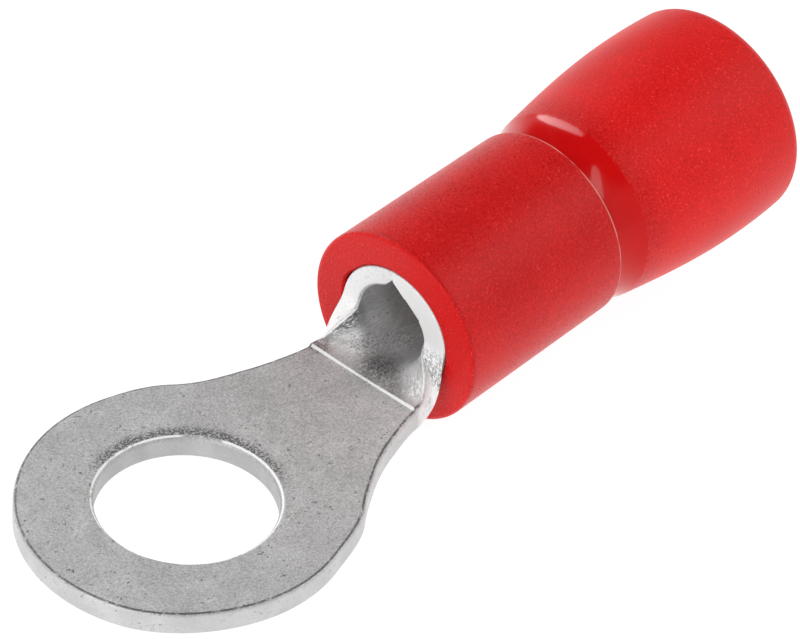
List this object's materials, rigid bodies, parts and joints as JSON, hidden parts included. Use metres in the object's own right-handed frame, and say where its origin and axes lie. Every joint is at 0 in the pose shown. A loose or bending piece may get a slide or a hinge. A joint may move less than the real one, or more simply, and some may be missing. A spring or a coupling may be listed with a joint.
{
  "type": "insulated ring terminal",
  "caption": "Crimp ring terminal: stamped ring tongue rolled into a wire barrel, in a red sleeve with a waist and a belled wire entry.",
  "frame": {"origin": "centre of the stud hole on the underside of the tongue", "axes": "+X along the barrel towards the wire entry, +Z along the stud hole out of the tongue's upper face, +Y to the left of the wire"},
  "size_m": [0.0227, 0.0082, 0.0055],
  "materials": {
    "tinned_copper": "matte tin plating over copper",
    "red_pvc": "satin moulded PVC"
  },
  "bodies": {
    "root": {"terminal": "tinned_copper", "insulating_sleeve": "red_pvc"}
  },
  "joints": []
}
